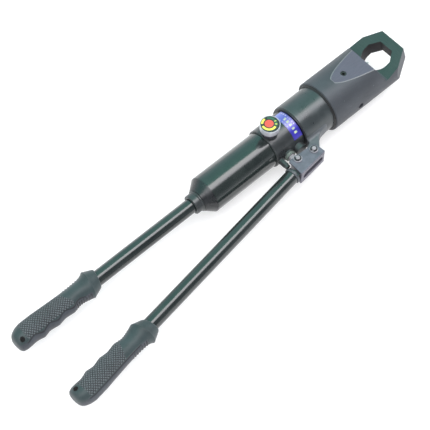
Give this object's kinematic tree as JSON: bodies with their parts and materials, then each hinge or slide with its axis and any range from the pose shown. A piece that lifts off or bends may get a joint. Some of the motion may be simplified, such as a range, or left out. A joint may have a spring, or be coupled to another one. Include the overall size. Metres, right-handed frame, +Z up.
{
  "type": "hydraulic nut splitter",
  "caption": "Hand-pumped hydraulic nut splitter: closed ring head, ram-driven blade, release knob, fixed lever and swinging pump lever.",
  "frame": {"origin": "centre of the nut window, on the ram axis", "axes": "+X along the ram axis out through the tip of the head, +Z up through the release knob, so the two levers lie in the XY plane"},
  "size_m": [0.6578, 0.1604, 0.0867],
  "materials": {
    "head_steel": "blackened satin",
    "dark_steel": "satin black",
    "gloss_black": "glossy black",
    "grip_rubber": "matte",
    "seal_rubber": "matte",
    "black_plastic": "matte",
    "bright_steel": "ground",
    "black_screw": "blackened",
    "bracket_steel": "dark plated",
    "gland_steel": "plated",
    "knob_plastic": "satin",
    "knob_sticker": "printed",
    "blue_label": "printed",
    "brass": "plain",
    "wear_plastic": "plain"
  },
  "bodies": {
    "frame": {"head": "head_steel", "ring_plate": "head_steel", "head_screws": "black_screw", "head_seal": "seal_rubber", "ram_cylinder": "dark_steel", "lock_ring": "bright_steel", "valve_block": "dark_steel", "block_label": "blue_label", "reservoir_tube": "gloss_black", "tank_oring": "seal_rubber", "bladder": "seal_rubber", "end_cap": "dark_steel", "collar_nut": "gloss_black", "fixed_tube": "gloss_black", "fixed_plug": "black_plastic", "fixed_grip": "grip_rubber", "suction_tube": "brass", "suction_filter": "brass", "inlet_ball": "bright_steel", "inlet_spring": "bright_steel", "outlet_ball": "bright_steel", "outlet_spring": "bright_steel", "relief_ball": "bright_steel", "relief_spring": "bright_steel", "relief_plug": "black_screw", "bleed_plug": "bracket_steel", "bonnet_nut": "bracket_steel", "plunger_seal": "seal_rubber", "gland_nut": "gland_steel", "pivot_pin": "bracket_steel", "pivot_clips": "bracket_steel"},
    "ram": {"piston": "bright_steel", "piston_seal": "seal_rubber", "wear_ring": "wear_plastic", "ram_rod": "bright_steel", "blade": "bright_steel", "blade_screw": "black_screw", "return_spring": "bright_steel"},
    "release": {"knob": "knob_plastic", "knob_label": "knob_sticker", "valve_stem": "bright_steel", "stem_oring": "seal_rubber"},
    "plunger": {"plunger": "bright_steel"},
    "lever": {"bracket": "bracket_steel", "lever_socket": "dark_steel", "drive_pin": "bracket_steel", "drive_clips": "bracket_steel", "pump_tube": "gloss_black", "pump_plug": "black_plastic", "pump_grip": "grip_rubber"}
  },
  "joints": [
    {"name": "ram_slide", "type": "slide", "parent": "frame", "child": "ram", "axis": [1, 0, 0], "range_m": [0, 0.022], "stiffness_N_per_m": 2000, "springref_m": -0.01, "deforming": ["return_spring"]},
    {"name": "lever_swing", "type": "hinge", "parent": "frame", "child": "lever", "pos_m": [-0.1655, -0.0489, 0], "axis": [0, 0, 1], "range_deg": [-2, 34]},
    {"name": "plunger_slide", "type": "slide", "parent": "frame", "child": "plunger", "axis": [0, -1, 0], "range_m": [-0.0009, 0.015]},
    {"name": "release_turn", "type": "hinge", "parent": "frame", "child": "release", "pos_m": [-0.1987, 0, 0.04], "axis": [0, 0, 1], "range_deg": [0, 120]}
  ],
  "couplings": [
    {"joint": "plunger_slide", "follows": "lever_swing", "m_per_rad": 0.0249}
  ]
}
